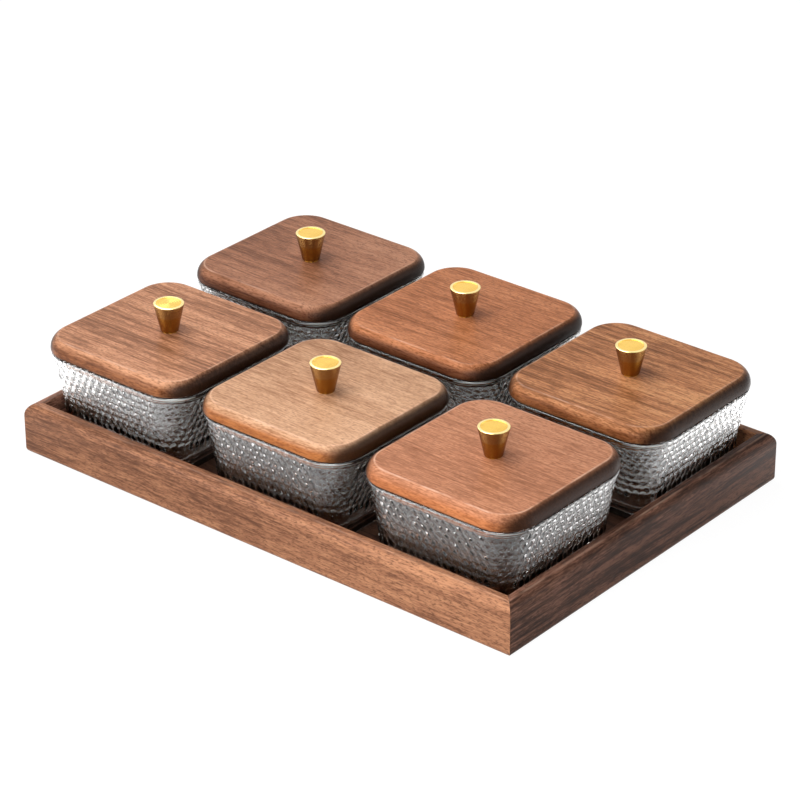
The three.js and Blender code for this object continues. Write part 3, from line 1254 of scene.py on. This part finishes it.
# Lid woods; each side tint darkens the lid's upright sides as painted shade
BROWN = WoodFinish(
    dark=(0.19, 0.075, 0.034), middle=(0.465, 0.21, 0.112), light=(0.66, 0.335, 0.19),
    streaks=0.34, painted_side_tint=(0.52, 0.4, 0.29),
)
GOLDEN = WoodFinish(
    dark=(0.29, 0.13, 0.062), middle=(0.56, 0.312, 0.178), light=(0.72, 0.435, 0.27),
    contrast=0.85, drift=0.5, painted_crest_highlight=0.4, painted_side_tint=(0.7, 0.43, 0.22),
)
REDDISH = WoodFinish(
    dark=(0.24, 0.087, 0.039), middle=(0.50, 0.213, 0.113), light=(0.64, 0.31, 0.175),
    contrast=0.85, drift=-0.15, streaks=0.08, painted_crest_highlight=0.5, painted_side_tint=(0.9, 0.72, 0.5),
)
DARK = WoodFinish(
    dark=(0.145, 0.055, 0.027), middle=(0.345, 0.147, 0.08), light=(0.48, 0.23, 0.133),
    drift=0.8, painted_side_tint=(0.42, 0.34, 0.3),
)
CHESTNUT = WoodFinish(
    dark=(0.195, 0.062, 0.019), middle=(0.455, 0.165, 0.069), light=(0.62, 0.255, 0.118),
    painted_side_tint=(0.32, 0.28, 0.28),
)
TAWNY = WoodFinish(
    dark=(0.185, 0.066, 0.022), middle=(0.49, 0.20, 0.085), light=(0.68, 0.33, 0.15),
    drift=0.3, streaks=0.34, painted_side_tint=(0.62, 0.52, 0.45),
)


@dataclass
class Lid:
    """A wooden lid with a plug that drops into the bowl, its seal, its knob and its screw."""

    bowl: Bowl
    half: float = 0.060
    corner: float = 0.0232
    thickness: float = 0.0095
    bottom_ease: float = 0.001
    side_height: float = 0.0004
    crease: float = 0.001
    softening: float = 0.0003
    plug_depth: float = 0.007
    plug_clearance: float = 0.001
    plug_ease: float = 0.0008
    groove_top: float = 0.002
    groove_height: float = 0.003
    groove_depth: float = 0.0024
    lip: float = 0.0005
    counterbore_radius: float = 0.0048
    counterbore_depth: float = 0.004
    round_steps: int = 12
    lip_steps: int = 6
    steps: Steps = Steps(side=1, corner=14)
    silicone: SiliconeFinish = SiliconeFinish()

    @property
    def plug(self) -> Section:
        """The outline of the plug's lower end."""
        height = self.bowl.mouth.z + SEAT_GAP - self.plug_depth
        return self.bowl.inside(height).inset(self.plug_clearance, -self.plug_depth)

    def outlines(self) -> list[Outline]:
        """Lists the outlines of the lid.

        Returns:
            The sections from the top of the screw hole down it, round the plug and over the top.
        """
        rim = Section(0, self.half, self.corner)
        plug = self.plug
        wide = self.counterbore_radius
        bore_top = Section(self.thickness, Knob.bore, Knob.bore * ROUND_SHARE)
        counterbore = Section(-self.plug_depth, wide, wide * ROUND_SHARE)
        head_seat = self.counterbore_depth - self.plug_depth
        low = -self.groove_top - self.groove_height
        drop = self.thickness - self.bottom_ease - self.side_height
        lower = edge_round(self.bottom_ease, self.round_steps)
        upper = edge_round(drop, self.round_steps, self.crease)
        crest = upper[-1][0]
        return [
            bore_top,
            bore_top.inset(0, head_seat),
            counterbore.inset(0, head_seat),
            counterbore,
            plug.inset(self.plug_ease, -self.plug_depth),
            plug.inset(0, self.plug_ease - self.plug_depth),
            plug.inset(0, low),
            plug.inset(self.groove_depth, low),
            plug.inset(self.groove_depth, -self.groove_top),
            plug.inset(0, -self.groove_top),
            plug.inset(0, 0),
            *(rim.inset(inwards, down) for inwards, down in reversed(lower)),
            *(rim.inset(inwards, self.thickness - down) for inwards, down in upper),
            rim.inset(crest + HOLD, self.thickness),
        ]

    def build_seal(self, name: str, at: Vector, material: Material) -> None:
        """Makes the seal: a strip in the plug's groove, with a lip that meets the glass.

        Args:
            name: its place on the tray.
            at: the middle of the lid's underside.
            material: its finish.
        """
        middle = -self.groove_top - self.groove_height / 2
        half_height = self.groove_height / 2 - SEAT_GAP
        seat = self.bowl.mouth.z + SEAT_GAP
        lip = self.bowl.inside(seat + middle - self.lip).inset(SEAT_GAP, middle)
        back = self.groove_depth - SEAT_GAP
        turns = [(step / self.lip_steps - 0.5) * math.pi for step in range(self.lip_steps + 1)]
        outlines = [
            self.plug.inset(back, middle - half_height),
            self.plug.inset(0, middle - half_height),
            *(
                lip.inset(self.lip * (1 - math.cos(turn)), middle + self.lip * math.sin(turn))
                for turn in turns
            ),
            self.plug.inset(0, middle + half_height),
            self.plug.inset(back, middle + half_height),
        ]
        bm = bmesh.new()
        skin(bm, outlines, self.steps, is_ring=True)
        put(bm, at, material, Standing(f"seal_{name}", f"lid_{name}", "seal"))

    def build(self, timbers: dict[str, Timber]) -> None:
        """Makes the lids with all that lifts off with them.

        Args:
            timbers: the wood of each, by its place on the tray.
        """
        silicone = self.silicone.material("milky_silicone")
        for name, timber in timbers.items():
            node = f"lid_{name}"
            at = centre_of(node) + Vector((0, 0, self.plug_depth))
            bm = wooden_mesh()
            rings, _ = skin(bm, self.outlines(), self.steps, is_ring=True)
            # The softened crest is marked for a painted highlight
            mark_painted_crest_highlight(bm, soften(bm, rings[-2], self.softening))
            material = timber.finish.material(f"walnut_{node}", Vector(timber.shift), at)
            put(bm, at, material, Standing(node, node, timber.slot), crease_angle=8)
            self.build_seal(name, at, silicone)
            Knob().build(name, at + Vector((0, 0, self.thickness)))
            Screw().build(name, at + Vector((0, 0, self.counterbore_depth - self.plug_depth)))


TIMBERS: dict[str, Timber] = {
    "front_left": Timber("lid_wood_brown", BROWN, (0.0, 0.0, 0.0)),
    "front_middle": Timber("lid_wood_golden", GOLDEN, (0.7, 0.31, 0.2)),
    "front_right": Timber("lid_wood_reddish", REDDISH, (1.3, 0.57, 0.4)),
    "back_left": Timber("lid_wood_dark", DARK, (1.9, 0.83, 0.6)),
    "back_middle": Timber("lid_wood_brown", CHESTNUT, (2.5, 1.09, 0.8)),
    "back_right": Timber("lid_wood_brown", TAWNY, (3.1, 1.37, 1.0)),
}


# Studio


@dataclass(frozen=True)
class Lamp:
    """A square soft lamp: where it is from the set, how far, its side in metres and its watts."""

    name: str
    away: Point
    distance: float
    size: float
    power: float

    def hang(self) -> None:
        """Hangs the lamp so that it faces the set."""
        data = bpy.data.lights.new(self.name, "AREA")
        data.shape = "SQUARE"
        data.size = self.size
        data.energy = self.power
        lamp = bpy.data.objects.new(self.name, data)
        away = Vector(self.away).normalized()
        lamp.location = away * self.distance
        lamp.rotation_euler = away.to_track_quat("Z", "Y").to_euler()
        bpy.context.scene.collection.objects.link(lamp)


@dataclass
class Studio:
    """The camera, the lamps, the white floor and the white backdrop of a dim room."""

    azimuth: float = 39.297
    elevation: float = 27.657
    distance: float = 2.185743
    target: Point = (-0.046267, 0.079141, 0.0)
    focal_length: float = 149.28
    sensor: float = 36.0
    shift: float = -0.025
    view_depth: float = 100.0
    bounces: int = 24
    ambient: float = 0.15
    dim: float = 0.24
    glow: float = 3.5
    glow_bounds: Bounds = (-0.95, -0.35)
    behind_bounds: Bounds = (0.15, 0.7)
    above_bounds: Bounds = (0.1, 0.4)
    lamps: tuple[Lamp, ...] = (
        Lamp("back", (-0.65, 0.28, 0.707), 1.4, 0.6, 3.0),
        Lamp("overhead", (-0.30, -0.20, 1.0), 1.07, 0.7, 7.5),
        Lamp("front", (0.22, -0.42, 0.26), 0.54, 0.3, 1.5),
        Lamp("left", (-0.5, -0.75, 0.3), 0.95, 0.4, 2.5),
    )
    floor_size: float = 12.0
    floor_glow: float = 0.9
    floor_seen: float = 1.06
    floor_shade: float = 0.12
    floor_paper: float = 0.5
    open_table: Bounds = (0.2, 0.32)

    def add_camera(self) -> None:
        """Sets the camera up at the photograph's angle."""
        azimuth, elevation = math.radians(self.azimuth), math.radians(self.elevation)
        back = Vector((
            math.sin(azimuth) * math.cos(elevation),
            -math.cos(azimuth) * math.cos(elevation),
            math.sin(elevation),
        ))
        data = bpy.data.cameras.new("camera")
        data.lens = self.focal_length
        data.sensor_width = self.sensor
        data.shift_x = self.shift
        data.clip_end = self.view_depth
        camera = bpy.data.objects.new("camera", data)
        camera.location = Vector(self.target) + back * self.distance
        camera.rotation_euler = (-back).to_track_quat("-Z", "Y").to_euler()
        bpy.context.scene.collection.objects.link(camera)
        bpy.context.scene.camera = camera

    def add_floor(self) -> None:
        """Lays the white floor, which shows white and keeps a faint shadow."""
        bm = bmesh.new()
        bmesh.ops.create_grid(bm, x_segments=1, y_segments=1, size=self.floor_size / 2)
        mesh = bpy.data.meshes.new("floor_mesh")
        bm.to_mesh(mesh)
        bm.free()
        sheet, material = Sheet.of_material("white_floor")
        open_table = sheet.rise(sheet.length(sheet.place()), self.open_table)
        room = self.reflected(sheet, sheet.vector("NORMALIZE", sheet.place()))
        beyond = sheet.sum("SUBTRACT", room, 1.0)
        mirrored = sheet.sum("MULTIPLY_ADD", open_table, beyond, 1.0)
        is_seen = sheet.add("LightPath", {}).outputs["Is Camera Ray"]
        bright = sheet.add("Mix", {0: is_seen, 2: mirrored, 3: self.floor_seen}).outputs[0]
        glow = sheet.add("Emission", {"Color": (self.floor_glow,) * 3, "Strength": bright}).outputs[0]
        shade = sheet.add("BsdfDiffuse", {"Color": (self.floor_shade,) * 3}).outputs[0]
        paper = sheet.add("BsdfDiffuse", {"Color": (self.floor_paper,) * 3}).outputs[0]
        shown = sheet.add("AddShader", {0: glow, 1: shade}).outputs[0]
        mixed = sheet.add("MixShader", {0: sheet.sees_backdrop(), 1: paper, 2: shown})
        sheet.surface(mixed.outputs[0])
        mesh.materials.append(material)
        floor = bpy.data.objects.new("floor", mesh)
        bpy.context.scene.collection.objects.link(floor)

    def reflected(self, sheet: Sheet, direction: NodeSocket) -> NodeSocket:
        """How bright the room is in metal and glass.

        Args:
            sheet: the sheet of the room or the floor.
            direction: where a ray leads, with a length of 1.

        Returns:
            The brightness: dim at the front, brightest low at the sides, and 1 behind and above.
        """
        azimuth = math.radians(self.azimuth)
        behind = (-math.sin(azimuth), math.cos(azimuth), 0.0)
        along = sheet.add("VectorMath", {0: direction, 1: behind}, operation="DOT_PRODUCT")
        facing = along.outputs["Value"]
        upward = sheet.parts(direction)[2]
        beside = sheet.rise(facing, self.glow_bounds)
        around = sheet.sum("MULTIPLY_ADD", beside, self.glow - self.dim, self.dim)
        behind_set = sheet.rise(facing, self.behind_bounds)
        plain = sheet.sum("MAXIMUM", behind_set, sheet.rise(upward, self.above_bounds))
        return sheet.add("Mix", {0: plain, 2: around, 3: 1.0}).outputs[0]

    def add_surroundings(self) -> None:
        """Sets a white backdrop behind the set, a dim room before it and a faint light on all."""
        world = bpy.data.worlds.new("surroundings")
        world.use_nodes = True
        bpy.context.scene.world = world
        sheet = Sheet(world.node_tree)
        backdrop = self.reflected(sheet, sheet.add("TexCoord", {}).outputs["Generated"])
        is_seen = sheet.add("LightPath", {}).outputs["Is Camera Ray"]
        shown = sheet.add("Mix", {0: is_seen, 2: backdrop, 3: 1.0}).outputs[0]
        lit = sheet.sum("SUBTRACT", shown, self.ambient)
        strength = sheet.sum("MULTIPLY_ADD", sheet.sees_backdrop(), lit, self.ambient)
        light = sheet.add("Background", {"Color": (1.0, 1.0, 1.0), "Strength": strength}).outputs[0]
        sheet.add("OutputWorld", {"Surface": light})

    def build(self) -> None:
        """Sets the studio up."""
        scene = bpy.context.scene
        scene.view_settings.view_transform = "Standard"
        scene.cycles.max_bounces = self.bounces
        scene.cycles.transmission_bounces = self.bounces
        scene.cycles.transparent_max_bounces = self.bounces
        self.add_camera()
        self.add_floor()
        self.add_surroundings()
        for lamp in self.lamps:
            lamp.hang()


def main() -> None:
    """Builds the tray, the bowls, the lids and the studio."""
    logging.basicConfig(level=logging.INFO, format="%(name)s: %(message)s")
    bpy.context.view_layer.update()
    bowl = Bowl()
    Tray().build()
    bowl.build(list(TIMBERS))
    Lid(bowl).build(TIMBERS)
    Studio().build()


if __name__ == "__main__":
    main()
